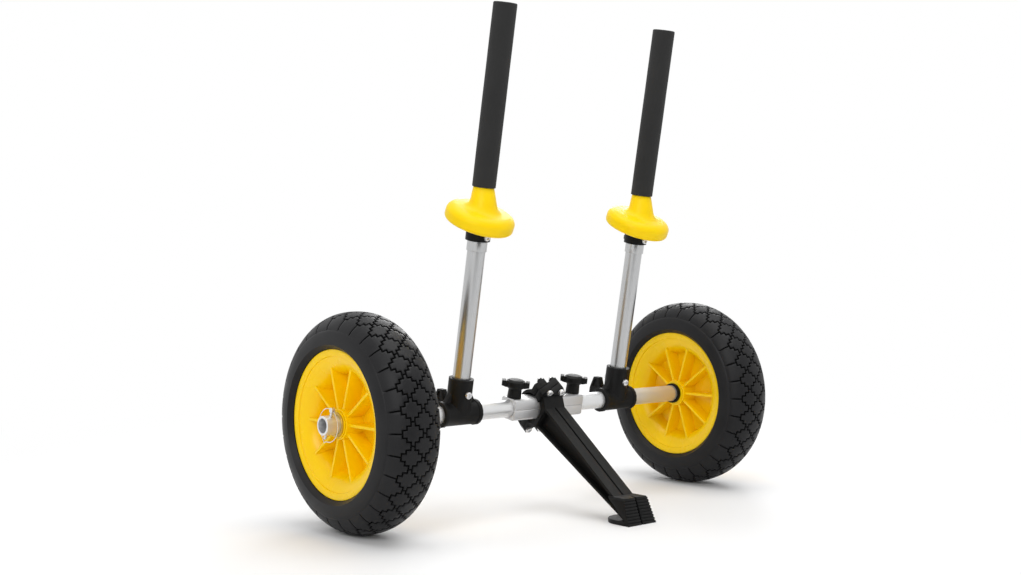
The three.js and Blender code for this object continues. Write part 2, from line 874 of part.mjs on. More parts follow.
// Side view of the leg: straight face, back edge rising towards the foot
function leg_beam() {
  const back_end = leg_taper - leg_back_start + leg_face;
  const half = leg_width / 2;
  const side_view = outline([
    [past - front_ear_depth, neck_top],
    [-front_ear_depth - past, neck_top],
    [-leg_start, leg_face],
    [-leg_ground, leg_face],
    [-leg_ground, back_end],
    [-leg_start, -leg_back_start],
    [past - front_ear_depth, -leg_back_start],
  ]);
  const beam = common(slab_x(side_view, -half, half), above_sole());
  const tools = [];
  const channel_start = leg_start + past;
  const slope = (back_end + leg_back_start) / (leg_ground - leg_start);
  const back_at = (along) => -leg_back_start + slope * (along - leg_start) + leg_flange;
  for (const side of [-1, 1]) {
    const channel = outline([
      [-channel_start, leg_face - leg_flange],
      [-leg_ground, leg_face - leg_flange],
      [-leg_ground, back_at(leg_ground)],
      [-channel_start, back_at(channel_start)],
    ]);
    const flange_side = outline([
      [-leg_start, leg_face - leg_flange],
      [-leg_ground, leg_face - leg_flange],
      [-leg_ground, -leg_back_start],
      [-leg_start, -leg_back_start - past],
    ]);
    tools.push(slab_x(channel, ...between(side * leg_web / 2, side * leg_width)));
    tools.push(slab_x(flange_side, ...between(side * leg_back_width / 2, side * leg_width)));
  }
  const slot_half = leg_slot_width / 2;
  tools.push(block(-slot_half, slot_half, -leg_shoulder, -leg_start, leg_face - leg_slot_depth,
    leg_face + past));
  const tab_low = -leg_back_start - neck_tab_rise;
  const tab = block(-neck_tab_width / 2, neck_tab_width / 2, -leg_start - neck_tab_length,
    past - leg_start, tab_low, past - leg_back_start);
  return join(cut(beam, ...tools), tab);
}

// The foot is set out level, with the axle at the origin and the ground a tyre radius below. It is a
// sole with a round heel and two ribbed pads that lie on the leg's face.
function foot() {
  const ground = -tyre_radius;
  const top = ground + foot_height;
  const half = foot_width / 2;
  const top_half = foot_top_width / 2;
  const heel = new THREE.Shape();
  heel.moveTo(-half, -foot_reach);
  heel.lineTo(half, -foot_reach);
  heel.lineTo(half, -foot_reach + foot_length - half);
  heel.absarc(0, -foot_reach + foot_length - half, half, 0, Math.PI, false);
  const side_view = outline([
    [foot_front(0), ground],
    [foot_front(foot_height), top],
    [0, top],
    [0, ground],
  ]);
  const front_view = outline([
    [-half, ground],
    [half, ground],
    [top_half, top - foot_corner],
    [top_half - foot_corner, top],
    [foot_corner - top_half, top],
    [-top_half, top - foot_corner],
  ]);
  const mass = common(slab_x(side_view, -half, half), slab_y(front_view, -foot_reach - past, past));
  const sole = common(slab_z(heel, ground, ground + sole_thickness), mass);
  const over_face = block(-half, half, -leg_ground - foot_height, 0, leg_face - foot_pad_depth, tyre_radius);
  const pads = common(mass.clone().rotateX(-stand_angle), over_face);
  return join(sole.rotateX(-stand_angle), pads);
}

// Grooves across the foot's front, and the split between its two pads
function foot_cutters() {
  const half = foot_width / 2 + past;
  const tools = [];
  const lean_angle = Math.atan2(foot_lean, foot_height);
  const groove_half = foot_rib_groove / 2;
  for (let i = 1; i < foot_rib_count; i += 1) {
    const height = foot_height * i / foot_rib_count;
    const groove = block(-half, half, -groove_half, groove_half, -groove_half, groove_half);
    groove.rotateX(Math.PI / 4 - lean_angle).translate(0, foot_front(height), height - tyre_radius);
    tools.push(groove.rotateX(-stand_angle));
  }
  const split = outline([
    [foot_front(0) - past, -tyre_radius - past],
    [foot_front(0) + foot_split_depth, -tyre_radius - past],
    [foot_front(foot_height) + foot_split_depth, foot_height - tyre_radius + past],
    [foot_front(foot_height) - past, foot_height - tyre_radius + past],
  ]);
  tools.push(slab_x(split, -leg_slot_width / 2, leg_slot_width / 2).rotateX(-stand_angle));
  return tools;
}

function kickstand_leg() {
  const face = jaw_split / 2;
  const jaw = jaw_half(leg_width, -jaw_radius - past, -face, -face, -front_ear_depth, -front_ear_depth);
  const leg = cut(join(leg_beam(), foot()), ...foot_cutters());
  return cut(join(jaw, leg), ...clamp_cutters());
}

// Clamp bolt along y: head in front of the ears, thread out of the back with its nut
function clamp_bolt(ear_depth) {
  const front = -front_ear_depth - seat_gap;
  const back = ear_depth + 2 * seat_gap + clamp_head_height + 2;
  const head = rod_y(clamp_head_radius, front - clamp_head_height, front, 12);
  return join(head, rod_y(clamp_bolt_radius, front - past, back));
}

function clamp_nut(ear_depth) {
  const nut = hex_nut(clamp_head_radius, clamp_bolt_radius, clamp_head_height);
  return nut.rotateX(-Math.PI / 2).translate(0, ear_depth + seat_gap, 0);
}

// Assembly

function add_wheel(parent, label, side) {
  const wheel_x = side * track / 2;
  const wheel = group(parent);
  wheel.position.x = wheel_x;
  piece(wheel, `${label}_tyre`, 'tyre', tyre());
  piece(wheel, `${label}_rim`, 'yellow_plastic', rim());
  piece(parent, `${label}_outer_bush`, 'yellow_plastic', bush(wheel_x, side));
  piece(parent, `${label}_inner_bush`, 'yellow_plastic', bush(wheel_x, -side));
}

function add_axle(parent, label, side) {
  piece(parent, `${label}_axle_tube`, 'aluminium', axle_tube(side));
  const flange_face = hub_length / 2 + bush_flange_thickness + 2 * seat_gap;
  const washer_x = side * (track / 2 + flange_face);
  piece(parent, `${label}_washer`, 'zinc', ring_on_axle(washer_radius, washer_x,
    washer_x + side * washer_thickness));
  const spacer_x = side * (track / 2 - flange_face);
  piece(parent, `${label}_spacer_ring`, 'black_plastic', ring_on_axle(spacer_radius, spacer_x,
    spacer_x - side * spacer_length));
  const end = group(parent);
  end.position.x = side * (axle_length / 2 - pin_inset);
  end.rotation.x = pin_tilt;
  piece(end, `${label}_lock_pin`, 'zinc', lock_pin());
  piece(end, `${label}_lock_ring`, 'zinc', lock_ring());
}

function add_post(parent, label, side) {
  const post = group(parent);
  post.position.x = post_shift + side * post_spacing / 2;
  piece(post, `${label}_tee`, 'black_plastic', tee());
  piece(post, `${label}_pole`, 'aluminium', pole());
  piece(post, `${label}_ferrule`, 'aluminium', ferrule());
  piece(post, `${label}_collar`, 'black_plastic', collar());
  piece(post, `${label}_bumper`, 'yellow_rubber', bumper());
  piece(post, `${label}_foam_sleeve`, 'foam', foam());
  piece(post, `${label}_pole_cap`, 'black_plastic', pole_cap());
  const tee_bolt = group(post);
  tee_bolt.position.z = tee_bolt_height;
  piece(tee_bolt, `${label}_tee_bolt`, 'zinc', through_bolt(tee_sleeve_radius, bolt_head_radius));
  piece(tee_bolt, `${label}_tee_nut`, 'zinc', bolt_nut(tee_sleeve_radius));
  const collar_bolt = group(post);
  collar_bolt.position.z = collar_bolt_height;
  piece(collar_bolt, `${label}_collar_bolt`, 'zinc', through_bolt(collar_radius, collar_head_radius));
  piece(collar_bolt, `${label}_collar_nut`, 'black_plastic', bolt_nut(collar_radius));
  const wing = group(post);
  wing.position.y = tee_boss_reach + seat_gap;
  wing.rotation.set(-Math.PI / 2, 0, Math.PI / 2, 'XYZ');
  piece(wing, `${label}_wing_knob`, 'black_plastic', wing_knob());
  const stud_low = running_radius - tee_boss_reach - seat_gap;
  piece(wing, `${label}_wing_stud`, 'zinc', stud(stud_low, wing_hub_height - seat_gap));
}

function add_coupling(parent) {
  const coupling = group(parent);
  coupling.position.x = coupling_shift;
  piece(coupling, 'coupling_box', 'aluminium', coupling_box());
  for (const [label, side] of [['left', -1], ['right', 1]]) {
    const knob = group(coupling);
    knob.position.set(side * knob_spread / 2, 0, coupling_side / 2 + seat_gap);
    knob.rotation.z = knob_turn;
    piece(knob, `${label}_coupling_knob`, 'black_plastic', coupling_knob());
    const stud_low = running_radius - coupling_side / 2 - seat_gap;
    piece(knob, `${label}_coupling_stud`, 'zinc', stud(stud_low, knob_stem_height - seat_gap));
  }
}

function add_kickstand(parent) {
  const stand = group(parent);
  stand.rotation.x = stand_angle;
  piece(stand, 'kickstand_leg', 'black_plastic', kickstand_leg());
  piece(stand, 'clamp_jaw', 'black_plastic', clamp_jaw());
  const upper = [['upper_left', -1, 1], ['upper_right', 1, 1]];
  const corners = [...upper, ['lower_left', -1, -1], ['lower_right', 1, -1]];
  for (const [label, x, z] of corners) {
    const bolt = group(stand);
    bolt.position.set(x * clamp_bolt_spread / 2, 0, z * clamp_bolt_reach);
    const ear_depth = z > 0 ? rear_ear_depth : rear_low_ear_depth;
    piece(bolt, `${label}_clamp_bolt`, 'zinc', clamp_bolt(ear_depth));
    piece(bolt, `${label}_clamp_nut`, 'zinc', clamp_nut(ear_depth));
  }
}

const cart = new THREE.Group();
const axle = group(cart);
axle.position.set(0, axle_y, tyre_radius);
const frame = group(axle);
frame.rotation.x = lean;
for (const [label, side] of [['left', -1], ['right', 1]]) {
  add_wheel(axle, label, side);
  add_axle(axle, label, side);
  add_post(frame, label, side);
}
add_coupling(frame);
add_kickstand(axle);

export default cart;
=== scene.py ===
import bisect
import json
import math

import bmesh
import bpy
from mathutils import Matrix, Vector


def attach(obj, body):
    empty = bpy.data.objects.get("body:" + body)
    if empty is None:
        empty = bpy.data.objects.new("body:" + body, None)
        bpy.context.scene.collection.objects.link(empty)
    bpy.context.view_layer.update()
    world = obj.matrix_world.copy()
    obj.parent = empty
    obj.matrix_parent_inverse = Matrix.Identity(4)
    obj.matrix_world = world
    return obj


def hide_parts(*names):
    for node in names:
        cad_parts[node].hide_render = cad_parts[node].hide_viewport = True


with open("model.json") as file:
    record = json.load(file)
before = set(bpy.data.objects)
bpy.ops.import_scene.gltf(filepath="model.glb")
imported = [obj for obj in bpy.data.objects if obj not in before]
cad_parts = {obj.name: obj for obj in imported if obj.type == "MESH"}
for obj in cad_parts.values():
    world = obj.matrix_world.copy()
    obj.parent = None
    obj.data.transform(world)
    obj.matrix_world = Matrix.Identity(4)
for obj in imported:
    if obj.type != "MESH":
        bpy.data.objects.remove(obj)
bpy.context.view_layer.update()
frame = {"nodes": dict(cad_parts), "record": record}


# Camera. It stands where the photograph was taken from: in front of the cart's left corner,
# 30 cm over the floor and looking almost level, with a lens of normal length.
camera = bpy.data.objects.new("camera", bpy.data.cameras.new("camera"))
camera.data.sensor_width = 36.0
camera.data.lens = 45.89
camera.data.clip_start = 0.05
camera.data.clip_end = 60.0
camera.location = (-1.125, -1.207, 0.304)
camera.rotation_euler = (math.radians(89.12), 0.0, math.radians(-41.05))
bpy.context.scene.collection.objects.link(camera)
bpy.context.scene.camera = camera
bpy.context.scene.view_settings.view_transform = "Standard"


# Materials are node trees. These two functions start one on the Principled shader, with its plain
# values set on the shader's own sockets, and add a node with its settings.
def new_finish(name, colour, roughness, sockets=None):
    material = bpy.data.materials.new(name)
    material.use_nodes = True
    shader = material.node_tree.nodes["Principled BSDF"]
    shader.inputs["Base Color"].default_value = (*colour, 1.0)
    shader.inputs["Roughness"].default_value = roughness
    for socket, value in (sockets or {}).items():
        shader.inputs[socket].default_value = value
    return material, shader


def add_node(tree, kind, **values):
    node = tree.nodes.new(kind)
    for name, value in values.items():
        setattr(node, name, value)
    return node


# Studio. A pale floor keeps soft shadows near the cart and turns to plain white further out,
# and a white room lights it. Mirror-like metal sees the same white as the camera, and a dark card
# in front, which the camera doesn't see, gives the upright tubes their darker middle band.
white = (1.0, 1.0, 1.0, 1.0)
shadows_reach = 0.45
white_from = 1.25


def seen_directly(tree):
    """One where the camera, a reflection or a clear body sees the surface, and zero for its light."""
    path = add_node(tree, "ShaderNodeLightPath")
    glossy = add_node(tree, "ShaderNodeMath", operation="MAXIMUM")
    clear = add_node(tree, "ShaderNodeMath", operation="MAXIMUM")
    tree.links.new(path.outputs["Is Camera Ray"], glossy.inputs[0])
    tree.links.new(path.outputs["Is Glossy Ray"], glossy.inputs[1])
    tree.links.new(glossy.outputs[0], clear.inputs[0])
    tree.links.new(path.outputs["Is Transmission Ray"], clear.inputs[1])
    return clear.outputs[0]


def studio_sheet(name, half_size, material):
    """A flat square sheet round the origin."""
    shape = bmesh.new()
    bmesh.ops.create_grid(shape, x_segments=1, y_segments=1, size=half_size)
    mesh = bpy.data.meshes.new(name)
    shape.to_mesh(mesh)
    shape.free()
    mesh.materials.append(material)
    sheet = bpy.data.objects.new(name, mesh)
    bpy.context.scene.collection.objects.link(sheet)
    return sheet


world = bpy.data.worlds.new("studio")
world.use_nodes = True
bpy.context.scene.world = world
room = world.node_tree
room_light = room.nodes["Background"]
room_light.inputs["Color"].default_value = white
room_light.inputs["Strength"].default_value = 0.50
room_seen = add_node(room, "ShaderNodeBackground")
room_seen.inputs["Color"].default_value = white
room_mix = add_node(room, "ShaderNodeMixShader")
room.links.new(seen_directly(room), room_mix.inputs["Fac"])
room.links.new(room_light.outputs[0], room_mix.inputs[1])
room.links.new(room_seen.outputs[0], room_mix.inputs[2])
room.links.new(room_mix.outputs[0], room.nodes["World Output"].inputs["Surface"])

floor_finish, floor_shader = new_finish("floor", (0.93, 0.93, 0.93), 0.6, {"Specular IOR Level": 0.2})
floor_tree = floor_finish.node_tree
spot = add_node(floor_tree, "ShaderNodeTexCoord")
reach = add_node(floor_tree, "ShaderNodeVectorMath", operation="LENGTH")
fade = add_node(floor_tree, "ShaderNodeMapRange", interpolation_type="SMOOTHSTEP")
fade.inputs["From Min"].default_value = shadows_reach
fade.inputs["From Max"].default_value = white_from
bright = add_node(floor_tree, "ShaderNodeEmission")
bright.inputs["Color"].default_value = white
both = add_node(floor_tree, "ShaderNodeMath", operation="MULTIPLY")
floor_mix = add_node(floor_tree, "ShaderNodeMixShader")
floor_tree.links.new(spot.outputs["Object"], reach.inputs[0])
floor_tree.links.new(reach.outputs["Value"], fade.inputs["Value"])
floor_tree.links.new(fade.outputs[0], both.inputs[0])
floor_tree.links.new(seen_directly(floor_tree), both.inputs[1])
floor_tree.links.new(both.outputs[0], floor_mix.inputs["Fac"])
floor_tree.links.new(floor_shader.outputs[0], floor_mix.inputs[1])
floor_tree.links.new(bright.outputs[0], floor_mix.inputs[2])
floor_tree.links.new(floor_mix.outputs[0], floor_tree.nodes["Material Output"].inputs["Surface"])
floor = studio_sheet("floor", 8.0, floor_finish)

flag_finish = new_finish("black_card", (0.02, 0.02, 0.02), 0.9)[0]
flag = studio_sheet("dark_flag", 0.5, flag_finish)
flag.location = (-0.50, -0.98, 0.36)
flag.rotation_euler = (math.radians(90.0), 0.0, math.radians(-25.0))
flag.scale = (0.80, 0.70, 1.0)
flag.visible_camera = False
flag.visible_diffuse = False
flag.visible_transmission = False

lamps = [
    ("overhead_softbox", (0.1, -0.2, 2.4), 2.2, 34.0),
    ("front_left_softbox", (-2.3, -1.6, 1.7), 1.4, 27.0),
    ("back_right_softbox", (1.9, 1.7, 1.6), 1.2, 20.0),
]
lamps_aim_at = Vector((0.0, 0.0, 0.2))
for lamp_name, lamp_place, lamp_size, lamp_power in lamps:
    lamp = bpy.data.objects.new(lamp_name, bpy.data.lights.new(lamp_name, "AREA"))
    lamp.data.shape = "SQUARE"
    lamp.data.size = lamp_size
    lamp.data.energy = lamp_power
    lamp.location = lamp_place
    beam = lamps_aim_at - Vector(lamp_place)
    lamp.rotation_euler = beam.to_track_quat("-Z", "Y").to_euler()
    bpy.context.scene.collection.objects.link(lamp)


# Pieces. Most are outlines turned round an axis. These functions turn an outline, join one part
# of a shape to another, and make a finished shape a piece that rides on its body.
def turned(shape, profile, steps):
    """Spins an outline of (along X, radius) points once round the X axis. It may end on the axis."""
    points = [shape.verts.new((x, 0.0, radius)) for x, radius in profile]
    ends = [] if profile[0][1] == 0.0 else [(points[-1], points[0])]
    edges = [shape.edges.new(pair) for pair in list(zip(points, points[1:])) + ends]
    bmesh.ops.spin(shape, geom=points + edges, cent=(0, 0, 0), axis=(1, 0, 0),
                   angle=2.0 * math.pi, steps=steps, use_merge=True)
    bmesh.ops.remove_doubles(shape, verts=shape.verts, dist=1e-6)


def join_part(shape, part):
    """Adds a second shape to the first and frees it."""
    kept = bpy.data.meshes.new("part")
    part.to_mesh(kept)
    part.free()
    shape.from_mesh(kept)
    bpy.data.meshes.remove(kept)


def finished(shape, name, body, material, place, nodes, crease=35.0):
    """Moves a shape to its place and makes it a piece that stands for its CAD nodes."""
    bmesh.ops.transform(shape, matrix=place, verts=shape.verts)
    bmesh.ops.recalc_face_normals(shape, faces=shape.faces)
    mesh = bpy.data.meshes.new(name)
    shape.to_mesh(mesh)
    shape.free()
    mesh.shade_smooth()
    mesh.set_sharp_from_angle(angle=math.radians(crease))
    mesh.materials.append(material)
    piece = bpy.data.objects.new(name, mesh)
    bpy.context.scene.collection.objects.link(piece)
    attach(piece, body)
    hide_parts(*nodes)
    return piece


def quarter_arc(steps):
    """Angles from 0 to 90 degrees, both included, in equal steps."""
    return [math.radians(90.0 * step / steps) for step in range(steps + 1)]


def curve(start, turn, end, steps):
    """Points along a smooth curve that leaves start and reaches end by way of the turn."""
    points = []
    for step in range(steps + 1):
        share = step / steps
        points.append(tuple(start.lerp(turn, share).lerp(turn.lerp(end, share), share)))
    return points


# Effects. Two node groups hold what several materials share: a moulded grain that drifts slowly
# over the surface, and fine drawn lines that run along a tube. Both give a normal and a roughness.
def effect_group(name, depth, smooth, rough):
    """Starts a group; returns it with its first and last node."""
    group = bpy.data.node_groups.new(name, "ShaderNodeTree")
    for socket_name, value in (("Depth", depth), ("Smooth", smooth), ("Rough", rough)):
        socket = group.interface.new_socket(socket_name, in_out="INPUT", socket_type="NodeSocketFloat")
        socket.default_value = value
    group.interface.new_socket("Normal", in_out="OUTPUT", socket_type="NodeSocketVector")
    group.interface.new_socket("Roughness", in_out="OUTPUT", socket_type="NodeSocketFloat")
    return group, add_node(group, "NodeGroupInput"), add_node(group, "NodeGroupOutput")


def relief(group, start, end, fine, slow):
    """Makes the normal from the fine noise and the roughness from the slow one."""
    bump = add_node(group, "ShaderNodeBump")
    spread = add_node(group, "ShaderNodeMapRange")
    spread.inputs["From Min"].default_value = 0.3
    spread.inputs["From Max"].default_value = 0.7
    group.links.new(fine.outputs["Fac"], bump.inputs["Height"])
    group.links.new(start.outputs["Depth"], bump.inputs["Distance"])
    group.links.new(slow.outputs["Fac"], spread.inputs["Value"])
    group.links.new(start.outputs["Smooth"], spread.inputs["To Min"])
    group.links.new(start.outputs["Rough"], spread.inputs["To Max"])
    group.links.new(bump.outputs["Normal"], end.inputs["Normal"])
    group.links.new(spread.outputs[0], end.inputs["Roughness"])


def grain_group():
    group, start, end = effect_group("moulded_grain", 0.00004, 0.4, 0.5)
    group.interface.new_socket("Scale", in_out="INPUT", socket_type="NodeSocketFloat")
    group.interface.new_socket("Drift", in_out="OUTPUT", socket_type="NodeSocketFloat")
    spot = add_node(group, "ShaderNodeTexCoord")
    grain = add_node(group, "ShaderNodeTexNoise")
    grain.inputs["Detail"].default_value = 3.0
    slow = add_node(group, "ShaderNodeTexNoise")
    slow.inputs["Scale"].default_value = 28.0
    slow.inputs["Detail"].default_value = 4.0
    group.links.new(spot.outputs["Object"], grain.inputs["Vector"])
    group.links.new(spot.outputs["Object"], slow.inputs["Vector"])
    group.links.new(start.outputs["Scale"], grain.inputs["Scale"])
    group.links.new(slow.outputs["Fac"], end.inputs["Drift"])
    relief(group, start, end, grain, slow)
    return group


def lines_group():
    group, start, end = effect_group("drawn_lines", 0.00001, 0.2, 0.35)
    group.interface.new_socket("Vector", in_out="INPUT", socket_type="NodeSocketVector")
    lines = add_node(group, "ShaderNodeTexNoise")
    lines.inputs["Scale"].default_value = 1.0
    lines.inputs["Detail"].default_value = 4.0
    group.links.new(start.outputs["Vector"], lines.inputs["Vector"])
    relief(group, start, end, lines, lines)
    return group


grain_nodes = grain_group()
lines_nodes = lines_group()


def grained_finish(name, light, dark, scale, depth, smooth, rough, sockets):
    """A moulded surface: fine grain, and a slow drift between two tones of its colour."""
    material, shader = new_finish(name, light, rough, sockets)
    tree = material.node_tree
    grain = add_node(tree, "ShaderNodeGroup", node_tree=grain_nodes)
    for socket, value in (("Scale", scale), ("Depth", depth), ("Smooth", smooth), ("Rough", rough)):
        grain.inputs[socket].default_value = value
    tone = add_node(tree, "ShaderNodeMix", data_type="RGBA")
    tone.inputs["A"].default_value = (*dark, 1.0)
    tone.inputs["B"].default_value = (*light, 1.0)
    tree.links.new(grain.outputs["Drift"], tone.inputs["Factor"])
    tree.links.new(tone.outputs["Result"], shader.inputs["Base Color"])
    tree.links.new(grain.outputs["Roughness"], shader.inputs["Roughness"])
    tree.links.new(grain.outputs["Normal"], shader.inputs["Normal"])
    return material


def drawn_metal(name, colour, smooth, rough, metal=0.75, along="X", lean=0.0):
    """Metal with fine lines along an axis, which may lean over backwards."""
    material, shader = new_finish(name, colour, smooth, {"Metallic": metal})
    tree = material.node_tree
    spot = add_node(tree, "ShaderNodeTexCoord")
    mapping = add_node(tree, "ShaderNodeMapping", vector_type="TEXTURE")
    mapping.inputs["Rotation"].default_value = (lean, 0.0, 0.0)
    mapping.inputs["Scale"].default_value = [0.5 if axis == along else 0.0006 for axis in "XYZ"]
    lines = add_node(tree, "ShaderNodeGroup", node_tree=lines_nodes)
    lines.inputs["Smooth"].default_value = smooth
    lines.inputs["Rough"].default_value = rough
    tree.links.new(spot.outputs["Object"], mapping.inputs["Vector"])
    tree.links.new(mapping.outputs[0], lines.inputs["Vector"])
    tree.links.new(lines.outputs["Roughness"], shader.inputs["Roughness"])
    tree.links.new(lines.outputs["Normal"], shader.inputs["Normal"])
    return material


# Tyres. Each is a solid foam tyre of 10 inches: a smooth sidewall, three rows of stepped diamond
# blocks, and shoulder lugs that run out on the sidewall. The blocks are shaped flat, laid on the
# tread's curve and repeated round the wheel.
axle_place = Vector((0.0, 0.026, 0.127))
wheel_places = {"left": -0.2825, "right": 0.2825}
tyre_radius = 0.127
tyre_half_width = 0.0384
section_centre = 0.087
section_power = 2.3
section_steps = 600
tread_pitches = 30
tread_depth = 0.0032
half_pitch = math.pi * tyre_radius / tread_pitches
row_step = 0.0143
groove_half = 0.0009
stairs = 3
block_root = tread_depth + 0.0008
block_edge = 0.00055
slice_across = 0.0035
cuts_across = range(-14, 15)
slice_around = 0.0045
cuts_around = range(-2, 6)
lug_fade = 0.0375
lug_end = 0.0440
lug_overrun = 0.002
lug_slope = 0.22
lug_slope_from = lug_fade + 0.003
casing_step = 0.002
casing_rows = 30
bead = [(0.0345, 0.0868), (0.0333, 0.0862), (0.0327, 0.0856), (0.0287, 0.0856), (0.0287, 0.0803)]


def section_point(share):
    """A point of the tyre's outline, from its side at 0 to its crown at 1."""
    angle = share * math.pi / 2.0
    across = math.cos(angle) ** (2.0 / section_power)
    out = math.sin(angle) ** (2.0 / section_power)
    return Vector((tyre_half_width * across, section_centre + (tyre_radius - section_centre) * out))


section = [section_point(1.0 - step / section_steps) for step in range(section_steps)]
section_run = [0.0]
for before, after in zip(section, section[1:]):
    section_run.append(section_run[-1] + (after - before).length)


def on_tread(around, across, height):
    """Where a point of the flat tread comes to lie on the tyre."""
    side = 1.0 if across >= 0.0 else -1.0
    i = min(bisect.bisect_right(section_run, abs(across)), len(section) - 1)
    before, after = section[i - 1], section[i]
    share = (abs(across) - section_run[i - 1]) / (section_run[i] - section_run[i - 1])
    run = (after - before).normalized()
    point = before.lerp(after, share) + Vector((-run.y, run.x)) * height
    turn = around / tyre_radius
    return Vector((side * point.x, point.y * math.sin(turn), point.y * math.cos(turn)))


def stepped_half():
    """Half a block's outline: stairs from its right tip over its top to its left tip."""
    right = []
    for level in range(stairs):
        width = half_pitch * (stairs - level) / stairs - groove_half
        if level:
            right.append((width, row_step * (2 * level - 1) / (2 * stairs) - groove_half))
        right.append((width, row_step * (2 * level + 1) / (2 * stairs) - groove_half))
    return right + [(-x, y) for x, y in reversed(right)]


def diamond(middle_around, middle_across):
    """A block with stairs in every side, which fits between its neighbours."""
    upper = stepped_half()
    points = upper + [(-x, -y) for x, y in upper]
    return [(x + middle_around, y + middle_across) for x, y in points]


def shoulder_lug(side):
    """A straight-sided lug whose stepped inner end fits between two blocks."""
    width = half_pitch - groove_half
    points = [(-x, 2.0 * row_step - y) for x, y in stepped_half()]
    points += [(width, lug_end + lug_overrun), (-width, lug_end + lug_overrun)]
    return [(side * x, side * y) for x, y in points]


def block_shape(outline):
    """Makes a block from its outline, rounds its upper edge and cuts it up to follow the tyre."""
    shape = bmesh.new()
    base = shape.faces.new([shape.verts.new((x, y, -block_root)) for x, y in outline])
    if base.normal.z < 0.0:
        base.normal_flip()
    grown = bmesh.ops.extrude_face_region(shape, geom=[base])["geom"]
    top = [face for face in grown if isinstance(face, bmesh.types.BMFace)][0]
    for vert in top.verts:
        vert.co.z = 0.0
    bmesh.ops.bevel(shape, geom=list(top.edges), offset=block_edge, segments=2, profile=0.5,
                    affect="EDGES", material=-1)
    wide = [face for face in shape.faces if len(face.verts) > 4]
    bmesh.ops.triangulate(shape, faces=wide)
    cuts = [(Vector((0.0, slice_across * cut, 0.0)), Vector((0.0, 1.0, 0.0))) for cut in cuts_across]
    cuts += [(Vector((slice_around * cut, 0.0, 0.0)), Vector((1.0, 0.0, 0.0))) for cut in cuts_around]
    for place, normal in cuts:
        bmesh.ops.bisect_plane(shape, geom=shape.verts[:] + shape.edges[:] + shape.faces[:], dist=1e-7,
                               plane_co=place, plane_no=normal)
    for vert in shape.verts:
        vert.co.z -= max(abs(vert.co.y) - lug_slope_from, 0.0) * lug_slope
    bmesh.ops.recalc_face_normals(shape, faces=shape.faces)
    return shape


def tyre_shape():
    blocks = bmesh.new()
    outlines = [diamond(0.0, 0.0), shoulder_lug(1), shoulder_lug(-1)]
    outlines += [diamond(half_pitch, row_step), diamond(half_pitch, -row_step)]
    for outline in outlines:
        join_part(blocks, block_shape(outline))
    for vert in blocks.verts:
        vert.co = on_tread(*vert.co)
    bmesh.ops.spin(blocks, geom=blocks.verts[:] + blocks.edges[:] + blocks.faces[:], cent=(0, 0, 0),
                   axis=(1, 0, 0), angle=2.0 * math.pi * (tread_pitches - 1) / tread_pitches,
                   steps=tread_pitches - 1, use_duplicate=True)
    casing = []
    for row in range(-casing_rows, casing_rows + 1):
        across = casing_step * row
        fade = min(max((abs(across) - lug_fade) / (lug_end - lug_fade), 0.0), 1.0)
        point = on_tread(0.0, across, -tread_depth * (1.0 - fade))
        casing.append((point.x, point.z))
    first = len(blocks.faces)
    turned(blocks, casing + bead + [(-x, radius) for x, radius in reversed(bead)], steps=120)
    blocks.faces.ensure_lookup_table()
    # The casing faces sunk between the blocks take the second, darker material: painted shade in the
    # grooves.
    groove_edge = on_tread(0.0, lug_fade, 0.0)
    for face in blocks.faces[first:]:
        middle = face.calc_center_median()
        if middle.yz.length > groove_edge.z - tread_depth and abs(middle.x) < groove_edge.x:
            face.material_index = 1
    return blocks


tyre_finish = grained_finish("tyre_rubber", light=(0.018, 0.018, 0.019), dark=(0.004, 0.004, 0.005),
                             scale=700.0, depth=0.00005, smooth=0.38, rough=0.55,
                             sockets={"Specular IOR Level": 0.20})
# The grooves' rubber is darker and rougher than the blocks' rubber: painted shade in the grooves, on rubber
# that is one colour throughout.
groove_painted_shade_finish = grained_finish("tread_grooves_painted_shade", light=(0.005, 0.005, 0.005), dark=(0.003, 0.003, 0.003),
                               scale=700.0, depth=0.00005, smooth=0.70, rough=0.85,
                               sockets={"Specular IOR Level": 0.12})


def wheel_place(side):
    return Matrix.Translation(axle_place + Vector((wheel_places[side], 0.0, 0.0)))


for side in wheel_places:
    tread = finished(tyre_shape(), f"{side}_tyre_tread", f"{side}_wheel", tyre_finish,
                     wheel_place(side), [f"{side}_tyre"], crease=40.0)
    tread.data.materials.append(groove_painted_shade_finish)


# Rims. Each is one yellow moulding, dished alike on both sides: a flat lip with a fine step, a bowl
# that curves down to a deep web, ten thin radial ribs over it, and a hub that narrows to its face.
hub_side = [
    (0.0255, 0.0136), (0.0268, 0.0139), (0.0270, 0.0144), (0.0270, 0.0170), (0.0266, 0.0175),
    (0.0060, 0.0188), (0.0046, 0.0194), (0.0040, 0.0206), (0.0040, 0.0545),
]
bowl_side = curve(start=Vector((0.0044, 0.0560)), turn=Vector((0.0240, 0.0595)),
                  end=Vector((0.0290, 0.0768)), steps=18)
lip_side = [
    (0.0294, 0.0771), (0.0306, 0.0774), (0.0309, 0.0780), (0.0318, 0.0818), (0.0320, 0.0838),
    (0.0317, 0.0849), (0.0309, 0.0853), (0.0291, 0.0853), (0.0290, 0.0850), (0.0290, 0.0800),
]
rim_side = hub_side + bowl_side + lip_side
rib_count = 10
rib_foot = 0.0035
rib_top = 0.0237
rib_start = 0.0165
rib_end = 0.0676
rib_foot_half = 0.00234
rib_top_half = 0.00168
rib_edge = 0.0007


